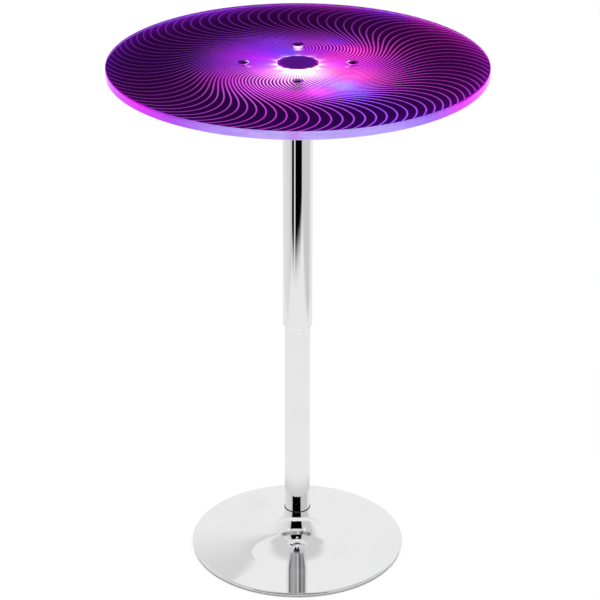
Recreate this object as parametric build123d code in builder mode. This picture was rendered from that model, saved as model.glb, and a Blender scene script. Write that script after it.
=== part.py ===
from build123d import *
import os
from math import cos, radians, sin, sqrt, tan

# Light up pedestal table: a lit clear top on a gas lift column with a round spun foot.
# Millimetres. The origin is on the floor below the column's axis and +Z is up. The table
# stands fully raised. The release lever points along mechanism_angle, seen from above.

os.makedirs("parts", exist_ok=True)

# Driving sizes of the whole table
table_height = 870.0
top_radius = 300.0
foot_radius = 180.0
lift_travel = 210.0
mechanism_angle = 45.0

# Clearances
seat_gap = 0.3
slip_gap = 0.1
running_gap = 0.05
overrun = 1.0

# Top slab, its film and its screws
slab_thickness = 13.0
slab_edge_round = 1.5
slab_lower_round = 0.5
core_hole_radius = 33.0
core_hole_chamfer = 0.6
screw_circle_radius = 85.0
screw_count = 4
screw_radius = 3.0
screw_hole_radius = 3.4
screw_head_radius = 5.0
screw_head_height = 6.0
screw_head_chamfer = 0.5
screw_socket_flat = 2.5
screw_socket_depth = 3.0
washer_radius = 8.0
washer_thickness = 1.6
counterbore_radius = 8.5
counterbore_floor = 4.0
film_thickness = 0.3
film_margin = 0.1
pad_radius = 14.0
pad_thickness = 2.0

# Seat plate with its pressed channel and weld nuts
plate_width = 150.0
plate_corner = 12.0
plate_thickness = 3.0
weld_nut_flat = 5.0
weld_nut_height = 5.0
channel_width = 64.0
channel_length = 124.0
channel_depth = 26.0
channel_wall = 3.0
channel_bend = 5.0
rest_tab_width = 30.0

# Light drum in the centre hole
drum_sides = 12
drum_flat = 26.5
drum_bore_radius = 24.0
drum_flange_radius = 39.0
drum_flange_thickness = 1.5
strip_thickness = 0.6
strip_height = 7.0
emitter_width = 5.0
emitter_depth = 1.6
cap_thickness = 2.2
cap_recess = 0.3
cap_chamfer = 0.8
cap_skirt_height = 5.0
cap_skirt_wall = 2.0
core_screw_count = 3
core_screw_circle_radius = 33.5
core_screw_radius = 1.5
core_screw_head_radius = 2.8
core_screw_length = 4.4
terminal_width = 7.0
terminal_height = 6.0

# Lead from the light drum to the control box
lead_radius = 1.5
lead_hole_radius = 3.5
lead_bend_radius = 7.0
lead_drop = 6.7
lead_along = -12.0
lead_across = 12.0
grommet_lip = 1.3
grommet_lip_thickness = 0.8

# Control box under the slab
box_near_edge = 108.0
box_width = 92.0
box_length = 84.0
box_height = 24.0
box_wall = 2.0
box_corner = 6.0
box_edge_round = 1.0
tape_thickness = 1.0
tape_margin = 6.0
boss_radius = 3.5
boss_inset = 6.0
cover_screw_radius = 1.45
cover_screw_head_radius = 2.8
cover_screw_head_height = 1.4
cover_screw_grip = 9.0
standoff_height = 4.0
standoff_radius = 2.0
board_thickness = 1.6
board_end_room = 7.0
board_wall_room = 8.5
board_cell_room = 5.6
board_shift_along = 4.0
connector_width = 8.0
connector_length = 7.0
connector_height = 6.0
chip_width = 10.0
chip_height = 1.8
cell_end_room = 9.0
cell_side_room = 2.1
cell_top_room = 1.3
contact_thickness = 0.5
contact_height = 12.0
cell_rib_thickness = 2.0
cell_rib_height = 15.0

# Push button and its switch
button_radius = 7.0
button_stand = 2.0
button_travel = 1.5
button_round = 0.8
button_flange_radius = 9.0
button_flange_thickness = 1.2
button_post_radius = 3.0
switch_width = 12.0
switch_height = 4.0

# Charging inlet
jack_width = 11.0
jack_height = 9.0
jack_depth = 13.0
jack_bore_radius = 3.15
jack_bore_depth = 9.5
jack_pin_radius = 1.05
jack_pin_setback = 1.0
jack_collar_radius = 4.6

# Release lever and its pin
pivot_along = 34.0
pivot_rise = 15.5
pivot_pin_radius = 3.0
pivot_pin_stand = 4.0
pin_groove_depth = 0.5
pin_clip_thickness = 0.8
pin_clip_reach = 2.8
clip_mouth_share = 0.55
lever_barrel_radius = 6.5
lever_tongue_reach = 6.0
lever_tongue_width = 18.0
lever_tongue_thickness = 5.0
lever_rod_radius = 5.0
lever_rod_length = 172.0
lever_droop = 5.0
grip_length = 62.0
grip_width = 26.0
grip_thickness = 11.0
grip_overlap = 45.0
grip_corner = 9.0
grip_round = 3.0

# Gas lift: tapered hub, pressure tube, valve and rod
hub_height = 40.0
hub_radius = 20.0
hub_collar_height = 18.0
hub_chamfer = 1.5
tube_radius = 14.0
tube_top_radius = 13.2
tube_bore_radius = 12.0
tube_engagement = 115.0
valve_body_length = 30.0
valve_lip_thickness = 1.5
valve_pin_radius = 3.0
valve_pin_stand = 10.0
valve_pin_length = 34.0
valve_pin_chamfer = 0.6
gland_length = 20.0
gland_seal_length = 4.0
piston_length = 16.0
piston_groove_width = 4.0
piston_groove_depth = 1.8
rod_radius = 5.0
rod_spigot_radius = 4.0
rod_rivet_radius = 6.0
rod_rivet_height = 3.0
rod_collar_radius = 8.0
rod_collar_height = 4.0
rod_end_stand = 1.1
rod_groove_depth = 0.8
rod_washer_radius = 8.0
rod_washer_thickness = 1.0
rod_clip_thickness = 1.0
rod_clip_reach = 3.0

# Upper column
sleeve_radius = 24.15
sleeve_wall = 1.2
sleeve_length = 405.0
sleeve_lip_chamfer = 0.5
guide_height = 25.0
guide_flange_inset = 0.4
guide_flange_thickness = 1.4

# Lower column with its bush, stop and turned foot plug
column_radius = 21.2
column_wall = 2.0
bush_length = 100.0
bush_flange_inset = 0.2
bush_flange_thickness = 2.0
stop_thickness = 5.7
stop_wall = 5.0
stop_round = 1.0
plug_height = 25.0
plug_flange_thickness = 3.0
shank_radius = 13.0
shank_bore_radius = 9.0
shank_bore_depth = 5.0
race_seat_radius = 15.1
race_seat_depth = 5.0

# Thrust bearing
race_radius = 15.0
race_thickness = 2.0
race_bore_gap = 0.4
ball_radius = 1.6
ball_circle_radius = 10.5
ball_count = 10
cage_width = 6.0
cage_thickness = 1.0

# Spun foot: conical disc that sweeps up into a flare, neck and rolled rim
shell_wall = 0.8
shell_slope = 3.5
sweep_start_radius = 110.0
flare_start_radius = 60.0
flare_slope = 11.5
neck_height = 69.0
neck_ring_height = 1.2
curl_radius = 2.8
curl_end_angle = 140.0

# Cast weight, its fixings and the floor ring
weight_gap = 1.0
weight_crown_radius = 45.0
weight_web_thickness = 5.0
weight_recess_radius = 30.0
weight_groove_radius = 90.0
weight_groove_width = 16.0
weight_groove_depth = 1.6
column_nut_flat = 18.0
column_nut_height = 5.0
column_washer_radius = 24.0
column_washer_thickness = 1.2
stud_count = 4
stud_circle_radius = 128.0
stud_radius = 3.0
stud_head_radius = 6.0
stud_head_thickness = 1.0
stud_end_stand = 0.6
stud_nut_flat = 5.0
stud_nut_height = 3.2
stud_pocket_radius = 8.0
stud_pocket_depth = 4.0
ring_thickness = 2.2
ring_width = 20.0
ring_inset = 1.0
lip_width = 1.5
lip_height = 2.6

# Heights from the top down, worked out from the sizes above
slab_bottom = table_height - slab_thickness
film_bottom = slab_bottom - film_thickness
plate_top = film_bottom - pad_thickness
plate_bottom = plate_top - plate_thickness
web_top = plate_bottom - channel_depth
web_bottom = web_top - channel_wall
hub_bottom = web_bottom - hub_height
sleeve_bottom = web_bottom - sleeve_length
bush_flange_top = hub_bottom - lift_travel - seat_gap - stop_thickness
column_top = bush_flange_top - bush_flange_thickness
tube_bottom = column_top - tube_engagement
piston_bottom = tube_bottom + gland_length + gland_seal_length + seat_gap
piston_top = piston_bottom + piston_length
valve_top = web_top + valve_lip_thickness
valve_pin_top = valve_top + valve_pin_stand
pivot_height = web_top + pivot_rise
lead_height = plate_bottom - lead_drop
drum_top = table_height - cap_recess - cap_thickness
light_height = table_height - slab_thickness / 2

# Radii of the column, from the outside in
sleeve_bore_radius = sleeve_radius - sleeve_wall
column_bore_radius = column_radius - column_wall
neck_inner_radius = column_radius + slip_gap
neck_radius = neck_inner_radius + shell_wall

# The foot's outer line: a cone leaves the rolled rim and two arcs take it up to the neck, each
# at a tangent to the line before it
slope = radians(shell_slope)
steep = radians(flare_slope)
curl_centre = (foot_radius - curl_radius, ring_thickness + curl_radius)
rim_point = (curl_centre[0] + curl_radius * sin(slope), curl_centre[1] + curl_radius * cos(slope))
sweep_curve = (sweep_start_radius - flare_start_radius) / (sin(steep) - sin(slope))
flare_curve = (flare_start_radius - neck_radius) / (1 - sin(steep))


def cone_height(radius):
    """Height of the foot's outer face on its conical part."""
    return rim_point[1] + (rim_point[0] - radius) * tan(slope)


def cone_underside(radius):
    """Height of the foot's inner face on its conical part."""
    return cone_height(radius) - shell_wall / cos(slope)


def weight_top(radius):
    """Height of the cast weight's upper face, which follows the shell at a gap."""
    return cone_underside(radius) - weight_gap


sweep_rise = cone_height(sweep_start_radius) + sweep_curve * cos(slope)
sweep_centre = (sweep_start_radius + sweep_curve * sin(slope), sweep_rise)
flare_centre = (neck_radius + flare_curve, sweep_rise - (sweep_curve - flare_curve) * cos(steep))

# Heights from the floor up
web_seat = weight_top(weight_crown_radius)
recess_top = web_seat - weight_web_thickness
shank_bottom = recess_top - column_washer_thickness - column_nut_height
clip_seat = shank_bottom + shank_bore_depth
column_bottom = web_seat + plug_flange_thickness
plug_top = column_bottom + plug_height
race_seat = plug_top - race_seat_depth
ball_height = race_seat + race_thickness + running_gap + ball_radius
upper_race_bottom = ball_height + ball_radius + running_gap
collar_bottom = upper_race_bottom + race_thickness
rod_washer_bottom = clip_seat - seat_gap - rod_washer_thickness
rod_clip_bottom = rod_washer_bottom - rod_clip_thickness
rod_bottom = rod_clip_bottom - rod_end_stand

# Directions of the release mechanism, seen from above
mechanism_turn = radians(mechanism_angle)
along = Vector(cos(mechanism_turn), sin(mechanism_turn), 0)
across = Vector(-sin(mechanism_turn), cos(mechanism_turn), 0)
upward = Vector(0, 0, 1)
rising = (Align.CENTER, Align.CENTER, Align.MIN)
hanging = (Align.CENTER, Align.CENTER, Align.MAX)


def level(height, shift_along=0, shift_across=0):
    """Level plane at a height whose X runs along the lever."""
    origin = along * shift_along + across * shift_across + upward * height
    return Plane(origin=origin, x_dir=along, z_dir=upward)


def lengthwise(shift_across=0):
    """Upright plane with X along the lever and Y up; its normal points back across the lever."""
    return Plane(origin=across * shift_across, x_dir=along, z_dir=across * -1)


def crosswise(shift_along=0):
    """Upright plane with X across the lever and Y up; its normal points along the lever."""
    return Plane(origin=along * shift_along, x_dir=across, z_dir=along)


def turn(*corners):
    """Add the ring that a half section sweeps round the column's axis."""
    with BuildSketch(Plane.XZ) as section:
        with BuildLine():
            Polyline(*corners, close=True)
        make_face()
    revolve(section.sketch, axis=Axis.Z)


def turn_ring(inner, outer, bottom, top):
    """Add a plain ring round the column's axis."""
    turn((inner, bottom), (outer, bottom), (outer, top), (inner, top))


def retaining_clip(inner, outer, thickness, plane):
    """Add an open clip that lies in a groove; its mouth is a share of its bore."""
    with BuildSketch(plane) as outline:
        Circle(outer)
        Circle(inner, mode=Mode.SUBTRACT)
        with Locations((0, -outer)):
            Rectangle(2 * inner * clip_mouth_share, 2 * outer, mode=Mode.SUBTRACT)
    extrude(outline.sketch, amount=thickness)


# Rubber ring that the table stands on: a flat flange with a lip between rim and weight
ring_outer = foot_radius - ring_inset
lip_outer = foot_radius - 2 * curl_radius - slip_gap
lip_inner = lip_outer - lip_width
lip_top = ring_thickness + lip_height

with BuildPart() as floor_ring:
    turn(
        (ring_outer - ring_width, 0),
        (ring_outer, 0),
        (ring_outer, ring_thickness),
        (lip_outer, ring_thickness),
        (lip_outer, lip_top),
        (lip_inner, lip_top),
        (lip_inner, ring_thickness),
        (ring_outer - ring_width, ring_thickness),
    )
floor_ring.part.label = "floor_ring"
export_step(floor_ring.part, "parts/floor_ring.step")

# Spun shell: neck, flare, sweep, cone and a rolled rim, one sheet thick all the way
curl_start_angle = 90 - shell_slope
curl_sweep = curl_start_angle + curl_end_angle
flare_size = 90 - flare_slope
sweep_size = flare_slope - shell_slope
sweep_angle = 180 + flare_size

with BuildPart() as base_shell:
    with BuildSketch(Plane.XZ):
        with BuildLine():
            neck_outside = Line((neck_radius, neck_height), (neck_radius, flare_centre[1]))
            CenterArc(flare_centre, flare_curve, 180, flare_size)
            sweep_outside = CenterArc(sweep_centre, sweep_curve, sweep_angle, sweep_size)
            Line(sweep_outside @ 1, rim_point)
            curl_outside = CenterArc(curl_centre, curl_radius, curl_start_angle, -curl_sweep)
            curl_inside = CenterArc(curl_centre, curl_radius - shell_wall, curl_start_angle, -curl_sweep)
            Line(curl_outside @ 1, curl_inside @ 1)
            flare_inside = CenterArc(flare_centre, flare_curve + shell_wall, 180, flare_size)
            sweep_inside = CenterArc(sweep_centre, sweep_curve + shell_wall, sweep_angle, sweep_size)
            Line(curl_inside @ 0, sweep_inside @ 1)
            neck_inside = Line(flare_inside @ 0, (neck_inner_radius, neck_height))
            Line(neck_inside @ 1, neck_outside @ 0)
        make_face()
    revolve(axis=Axis.Z)
base_shell.part.label = "base_shell"
export_step(base_shell.part, "parts/base_shell.step")

# Dark ring on the neck's upper edge, round the column
with BuildPart() as neck_ring:
    turn_ring(neck_inner_radius, neck_radius, neck_height, neck_height + neck_ring_height)
neck_ring.part.label = "neck_ring"
export_step(neck_ring.part, "parts/neck_ring.step")

# Cast weight: a conical plate with a recess for the column's nut, pockets for the studs'
# nuts and a shallow groove underneath
weight_radius = lip_inner - slip_gap
stud_head_top = cone_underside(stud_circle_radius + stud_head_radius)
stud_head_bottom = stud_head_top - stud_head_thickness
pocket_top = ring_thickness + stud_pocket_depth

with BuildPart() as base_weight:
    turn(
        (shank_radius + slip_gap, recess_top),
        (weight_recess_radius, recess_top),
        (weight_recess_radius, ring_thickness),
        (weight_groove_radius - weight_groove_width / 2, ring_thickness),
        (weight_groove_radius - weight_groove_width / 2, ring_thickness + weight_groove_depth),
        (weight_groove_radius + weight_groove_width / 2, ring_thickness + weight_groove_depth),
        (weight_groove_radius + weight_groove_width / 2, ring_thickness),
        (weight_radius, ring_thickness),
        (weight_radius, weight_top(weight_radius)),
        (weight_crown_radius, web_seat),
        (shank_radius + slip_gap, web_seat),
    )
    with BuildSketch(Plane.XY.offset(stud_head_bottom - seat_gap)):
        with PolarLocations(stud_circle_radius, stud_count, start_angle=mechanism_angle):
            Circle(stud_head_radius + seat_gap)
    extrude(amount=stud_head_thickness + weight_gap + overrun, mode=Mode.SUBTRACT)
    with BuildSketch(Plane.XY.offset(ring_thickness)):
        with PolarLocations(stud_circle_radius, stud_count, start_angle=mechanism_angle):
            Circle(stud_pocket_radius)
    extrude(amount=stud_pocket_depth, mode=Mode.SUBTRACT)
    with BuildSketch(Plane.XY.offset(ring_thickness)):
        with PolarLocations(stud_circle_radius, stud_count, start_angle=mechanism_angle):
            Circle(stud_radius + seat_gap)
    extrude(amount=web_seat, mode=Mode.SUBTRACT)
base_weight.part.label = "base_weight"
export_step(base_weight.part, "parts/base_weight.step")

# Weld studs under the shell, which hold it down on the weight
with BuildPart(Plane.XY.offset(stud_head_bottom)) as shell_studs:
    with PolarLocations(stud_circle_radius, stud_count, start_angle=mechanism_angle):
        Cylinder(stud_head_radius, stud_head_thickness, align=rising)
        Cylinder(stud_radius, stud_head_bottom - ring_thickness - stud_end_stand, align=hanging)
shell_studs.part.label = "shell_studs"
export_step(shell_studs.part, "parts/shell_studs.step")

with BuildPart() as stud_nuts:
    with BuildSketch(Plane.XY.offset(pocket_top - stud_nut_height)):
        with PolarLocations(stud_circle_radius, stud_count, start_angle=mechanism_angle):
            RegularPolygon(stud_nut_flat, 6, major_radius=False)
            Circle(stud_radius + running_gap, mode=Mode.SUBTRACT)
    extrude(amount=stud_nut_height)
stud_nuts.part.label = "stud_nuts"
export_step(stud_nuts.part, "parts/stud_nuts.step")

# Turned plug in the column's lower end: threaded shank, flange, spigot and bearing seat
with BuildPart() as column_foot:
    turn(
        (shank_bore_radius, shank_bottom),
        (shank_radius, shank_bottom),
        (shank_radius, web_seat),
        (column_radius, web_seat),
        (column_radius, column_bottom),
        (column_bore_radius - slip_gap, column_bottom),
        (column_bore_radius - slip_gap, plug_top),
        (race_seat_radius, plug_top),
        (race_seat_radius, race_seat),
        (rod_radius + running_gap, race_seat),
        (rod_radius + running_gap, clip_seat),
        (shank_bore_radius, clip_seat),
    )
column_foot.part.label = "column_foot"
export_step(column_foot.part, "parts/column_foot.step")

with BuildPart() as column_washer:
    turn_ring(shank_radius + slip_gap, column_washer_radius, recess_top - column_washer_thickness, recess_top)
column_washer.part.label = "column_washer"
export_step(column_washer.part, "parts/column_washer.step")

with BuildPart() as column_nut:
    with BuildSketch(Plane.XY.offset(shank_bottom)):
        RegularPolygon(column_nut_flat, 6, major_radius=False)
        Circle(shank_radius + slip_gap, mode=Mode.SUBTRACT)
    extrude(amount=column_nut_height)
column_nut.part.label = "column_nut"
export_step(column_nut.part, "parts/column_nut.step")

# Lower column, the bush in its upper end and the stop that the hub comes down on
with BuildPart() as lower_column:
    turn_ring(column_bore_radius, column_radius, column_bottom, column_top)
lower_column.part.label = "lower_column"
export_step(lower_column.part, "parts/lower_column.step")

with BuildPart() as column_bush:
    turn(
        (tube_radius + running_gap, column_top - bush_length),
        (column_bore_radius - slip_gap, column_top - bush_length),
        (column_bore_radius - slip_gap, column_top),
        (column_radius - bush_flange_inset, column_top),
        (column_radius - bush_flange_inset, bush_flange_top),
        (tube_radius + running_gap, bush_flange_top),
    )
column_bush.part.label = "column_bush"
export_step(column_bush.part, "parts/column_bush.step")

stop_bore_radius = tube_radius + seat_gap
with BuildPart() as down_stop:
    turn_ring(stop_bore_radius, stop_bore_radius + stop_wall, bush_flange_top, bush_flange_top + stop_thickness)
    fillet(down_stop.edges().filter_by(GeomType.CIRCLE).group_by(Axis.Z)[-1], stop_round)
down_stop.part.label = "down_stop"
export_step(down_stop.part, "parts/down_stop.step")

# Thrust bearing that the rod turns on
with BuildPart() as thrust_race_lower:
    turn_ring(rod_radius + race_bore_gap, race_radius, race_seat, race_seat + race_thickness)
thrust_race_lower.part.label = "thrust_race_lower"
export_step(thrust_race_lower.part, "parts/thrust_race_lower.step")

with BuildPart(Plane.XY.offset(ball_height)) as thrust_balls:
    with PolarLocations(ball_circle_radius, ball_count):
        Sphere(ball_radius)
thrust_balls.part.label = "thrust_balls"
export_step(thrust_balls.part, "parts/thrust_balls.step")

with BuildPart() as thrust_cage:
    turn_ring(
        ball_circle_radius - cage_width / 2,
        ball_circle_radius + cage_width / 2,
        ball_height - cage_thickness / 2,
        ball_height + cage_thickness / 2,
    )
    with BuildSketch(Plane.XY.offset(ball_height)):
        with PolarLocations(ball_circle_radius, ball_count):
            Circle(ball_radius + slip_gap)
    extrude(amount=cage_thickness, both=True, mode=Mode.SUBTRACT)
thrust_cage.part.label = "thrust_cage"
export_step(thrust_cage.part, "parts/thrust_cage.step")

with BuildPart() as thrust_race_upper:
    turn_ring(rod_radius + slip_gap, race_radius, upper_race_bottom, collar_bottom)
thrust_race_upper.part.label = "thrust_race_upper"
export_step(thrust_race_upper.part, "parts/thrust_race_upper.step")

# Piston rod: a long bar with a collar on the bearing, a clip groove below and a riveted end
groove_radius = rod_radius - rod_groove_depth
with BuildPart() as piston_rod:
    turn(
        (0, rod_bottom),
        (rod_radius, rod_bottom),
        (rod_radius, rod_clip_bottom),
        (groove_radius, rod_clip_bottom),
        (groove_radius, rod_washer_bottom),
        (rod_radius, rod_washer_bottom),
        (rod_radius, collar_bottom),
        (rod_collar_radius, collar_bottom),
        (rod_collar_radius, collar_bottom + rod_collar_height),
        (rod_radius, collar_bottom + rod_collar_height),
        (rod_radius, piston_bottom),
        (rod_spigot_radius, piston_bottom),
        (rod_spigot_radius, piston_top),
        (rod_rivet_radius, piston_top),
        (0, piston_top + rod_rivet_height),
    )
piston_rod.part.label = "piston_rod"
export_step(piston_rod.part, "parts/piston_rod.step")

with BuildPart() as rod_washer:
    turn_ring(rod_radius + slip_gap, rod_washer_radius, rod_washer_bottom, clip_seat - seat_gap)
rod_washer.part.label = "rod_washer"
export_step(rod_washer.part, "parts/rod_washer.step")

with BuildPart() as rod_clip:
    clip_bore = groove_radius + slip_gap
    retaining_clip(clip_bore, clip_bore + rod_clip_reach, rod_clip_thickness, Plane.XY.offset(rod_clip_bottom))
rod_clip.part.label = "rod_clip"
export_step(rod_clip.part, "parts/rod_clip.step")

# Piston with a seal in its groove
piston_radius = tube_bore_radius - seat_gap
piston_middle = (piston_bottom + piston_top) / 2
groove_floor = piston_radius - piston_groove_depth
with BuildPart() as piston:
    turn(
        (rod_spigot_radius + slip_gap, piston_bottom),
        (piston_radius, piston_bottom),
        (piston_radius, piston_middle - piston_groove_width / 2),
        (groove_floor, piston_middle - piston_groove_width / 2),
        (groove_floor, piston_middle + piston_groove_width / 2),
        (piston_radius, piston_middle + piston_groove_width / 2),
        (piston_radius, piston_top),
        (rod_spigot_radius + slip_gap, piston_top),
    )
piston.part.label = "piston"
export_step(piston.part, "parts/piston.step")

with BuildPart() as piston_seal:
    turn_ring(
        groove_floor + slip_gap,
        tube_bore_radius - running_gap,
        piston_middle - piston_groove_width / 2 + slip_gap,
        piston_middle + piston_groove_width / 2 - slip_gap,
    )
piston_seal.part.label = "piston_seal"
export_step(piston_seal.part, "parts/piston_seal.step")

# Pressure tube with a tapered upper end, its rod guide, seal and valve
with BuildPart() as pressure_tube:
    turn(
        (tube_bore_radius, tube_bottom),
        (tube_radius, tube_bottom),
        (tube_radius, hub_bottom),
        (tube_top_radius, web_bottom),
        (tube_top_radius, web_top),
        (tube_bore_radius, web_top),
    )
pressure_tube.part.label = "pressure_tube"
export_step(pressure_tube.part, "parts/pressure_tube.step")

with BuildPart() as rod_gland:
    turn_ring(rod_radius + running_gap, tube_bore_radius - slip_gap, tube_bottom, tube_bottom + gland_length)
rod_gland.part.label = "rod_gland"
export_step(rod_gland.part, "parts/rod_gland.step")

with BuildPart() as gland_seal:
    seal_bottom = tube_bottom + gland_length
    turn_ring(
        rod_radius + running_gap,
        tube_bore_radius - slip_gap,
        seal_bottom,
        seal_bottom + gland_seal_length,
    )
gland_seal.part.label = "gland_seal"
export_step(gland_seal.part, "parts/gland_seal.step")

with BuildPart() as valve_body:
    turn(
        (valve_pin_radius + running_gap, web_top - valve_body_length),
        (tube_bore_radius - slip_gap, web_top - valve_body_length),
        (tube_bore_radius - slip_gap, web_top),
        (tube_top_radius, web_top),
        (tube_top_radius, valve_top),
        (valve_pin_radius + running_gap, valve_top),
    )
valve_body.part.label = "valve_body"
export_step(valve_body.part, "parts/valve_body.step")

with BuildPart(Plane.XY.offset(valve_pin_top)) as valve_pin:
    Cylinder(valve_pin_radius, valve_pin_length, align=hanging)
    chamfer(valve_pin.edges().group_by(Axis.Z)[-1], valve_pin_chamfer)
valve_pin.part.label = "valve_pin"
export_step(valve_pin.part, "parts/valve_pin.step")

# Hub with the tapered seat for the tube; its collar carries the sleeve
with BuildPart() as lift_hub:
    turn(
        (tube_radius + running_gap, hub_bottom),
        (hub_radius - hub_chamfer, hub_bottom),
        (hub_radius, hub_bottom + hub_chamfer),
        (hub_radius, web_bottom - hub_collar_height),
        (sleeve_bore_radius - slip_gap, web_bottom - hub_collar_height),
        (sleeve_bore_radius - slip_gap, web_bottom),
        (tube_top_radius + running_gap, web_bottom),
    )
lift_hub.part.label = "lift_hub"
export_step(lift_hub.part, "parts/lift_hub.step")

# Upper column and the guide ring in its lower end
with BuildPart() as sleeve:
    turn(
        (sleeve_bore_radius, sleeve_bottom),
        (sleeve_radius - sleeve_lip_chamfer, sleeve_bottom),
        (sleeve_radius, sleeve_bottom + sleeve_lip_chamfer),
        (sleeve_radius, web_bottom),
        (sleeve_bore_radius, web_bottom),
    )
sleeve.part.label = "sleeve"
export_step(sleeve.part, "parts/sleeve.step")

with BuildPart() as sleeve_guide:
    turn(
        (column_radius + running_gap, sleeve_bottom - guide_flange_thickness),
        (sleeve_radius - guide_flange_inset, sleeve_bottom - guide_flange_thickness),
        (sleeve_radius - guide_flange_inset, sleeve_bottom),
        (sleeve_bore_radius - slip_gap, sleeve_bottom),
        (sleeve_bore_radius - slip_gap, sleeve_bottom + guide_height),
        (column_radius + running_gap, sleeve_bottom + guide_height),
    )
sleeve_guide.part.label = "sleeve_guide"
export_step(sleeve_guide.part, "parts/sleeve_guide.step")

# Pressed channel: it carries the hub below and the lever's pin between its walls; the lever's
# rod rests in the notch of a tab at the open end
channel_half = channel_width / 2
tab_middle = channel_length / 2 - channel_wall / 2
rod_rest_height = pivot_height - (tab_middle - pivot_along) * tan(radians(lever_droop))
with BuildPart() as mechanism_channel:
    with BuildSketch(crosswise()):
        with BuildLine():
            walls = Polyline(
                (-channel_half, plate_bottom),
                (-channel_half, web_bottom),
                (channel_half, web_bottom),
                (channel_half, plate_bottom),
            )
            fillet(walls.vertices().group_by(Axis.Y)[0], channel_bend)
            offset(amount=channel_wall, side=Side.LEFT)
        make_face()
    extrude(amount=channel_length / 2, both=True)
    with BuildSketch(level(web_bottom)):
        Circle(tube_top_radius + slip_gap)
    extrude(amount=channel_wall, mode=Mode.SUBTRACT)
    with BuildSketch(lengthwise()):
        with Locations((pivot_along, pivot_height)):
            Circle(pivot_pin_radius + slip_gap)
    extrude(amount=channel_half + overrun, both=True, mode=Mode.SUBTRACT)
    with BuildSketch(lengthwise(channel_half)):
        with Locations((lead_along, lead_height)):
            Circle(lead_hole_radius)
    extrude(amount=channel_wall, mode=Mode.SUBTRACT)
    with BuildSketch(crosswise(channel_length / 2)):
        with Locations((0, web_top)):
            Rectangle(rest_tab_width, rod_rest_height - web_top, align=(Align.CENTER, Align.MIN))
        with Locations((0, rod_rest_height)):
            Circle(lever_rod_radius + 2 * seat_gap, mode=Mode.SUBTRACT)
    extrude(amount=-channel_wall)
mechanism_channel.part.label = "mechanism_channel"
export_step(mechanism_channel.part, "parts/mechanism_channel.step")

# Seat plate: four screw holes, the lead's hole and holes for the drum's screws
screw_pitch = screw_circle_radius * sqrt(2)
with BuildPart() as mount_plate:
    with BuildSketch(level(plate_bottom)):
        RectangleRounded(plate_width, plate_width, plate_corner)
        with GridLocations(screw_pitch, screw_pitch, 2, 2):
            Circle(screw_hole_radius, mode=Mode.SUBTRACT)
        with Locations((lead_along, lead_across)):
            Circle(lead_hole_radius, mode=Mode.SUBTRACT)
        with PolarLocations(core_screw_circle_radius, core_screw_count, start_angle=90):
            Circle(core_screw_radius + slip_gap, mode=Mode.SUBTRACT)
    extrude(amount=plate_thickness)
mount_plate.part.label = "mount_plate"
export_step(mount_plate.part, "parts/mount_plate.step")

with BuildPart() as weld_nuts:
    with BuildSketch(level(plate_bottom - weld_nut_height)):
        with GridLocations(screw_pitch, screw_pitch, 2, 2):
            RegularPolygon(weld_nut_flat, 6, major_radius=False)
            Circle(screw_radius + running_gap, mode=Mode.SUBTRACT)
    extrude(amount=weld_nut_height)
weld_nuts.part.label = "weld_nuts"
export_step(weld_nuts.part, "parts/weld_nuts.step")

with BuildPart() as top_pads:
    with BuildSketch(level(plate_top)):
        with GridLocations(screw_pitch, screw_pitch, 2, 2):
            Circle(pad_radius)
            Circle(screw_hole_radius, mode=Mode.SUBTRACT)
    extrude(amount=pad_thickness)
top_pads.part.label = "top_pads"
export_step(top_pads.part, "parts/top_pads.step")

# Clear slab with its centre hole and four counterbores
with BuildPart(Plane.XY.offset(table_height)) as table_top:
    Cylinder(top_radius, slab_thickness, align=hanging)
    Cylinder(core_hole_radius, slab_thickness, align=hanging, mode=Mode.SUBTRACT)
    hole_rims = table_top.edges().filter_by(GeomType.CIRCLE).group_by(SortBy.RADIUS)[0]
    chamfer(hole_rims.group_by(Axis.Z)[-1], core_hole_chamfer)
    outer_rims = table_top.edges().filter_by(GeomType.CIRCLE).group_by(SortBy.RADIUS)[-1]
    fillet(outer_rims.group_by(Axis.Z)[-1], slab_edge_round)
    fillet(outer_rims.group_by(Axis.Z)[0], slab_lower_round)
    with PolarLocations(screw_circle_radius, screw_count):
        CounterBoreHole(screw_hole_radius, counterbore_radius, slab_thickness - counterbore_floor)
table_top.part.label = "table_top"
export_step(table_top.part, "parts/table_top.step")

# Dark film bonded under the slab; it carries the pattern of lit lines
with BuildPart() as pattern_film:
    with BuildSketch(Plane.XY.offset(film_bottom)):
        Circle(top_radius - slab_lower_round - film_margin)
        Circle(core_hole_radius, mode=Mode.SUBTRACT)
        with PolarLocations(screw_circle_radius, screw_count):
            Circle(screw_hole_radius, mode=Mode.SUBTRACT)
    extrude(amount=film_thickness)
pattern_film.part.label = "pattern_film"
export_step(pattern_film.part, "parts/pattern_film.step")

# Socket screws with washers in the counterbores
washer_bottom = slab_bottom + counterbore_floor
head_bottom = washer_bottom + washer_thickness
with BuildPart() as screw_washers:
    with BuildSketch(Plane.XY.offset(washer_bottom)):
        with PolarLocations(screw_circle_radius, screw_count):
            Circle(washer_radius)
            Circle(screw_hole_radius, mode=Mode.SUBTRACT)
    extrude(amount=washer_thickness)
screw_washers.part.label = "screw_washers"
export_step(screw_washers.part, "parts/screw_washers.step")

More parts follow.
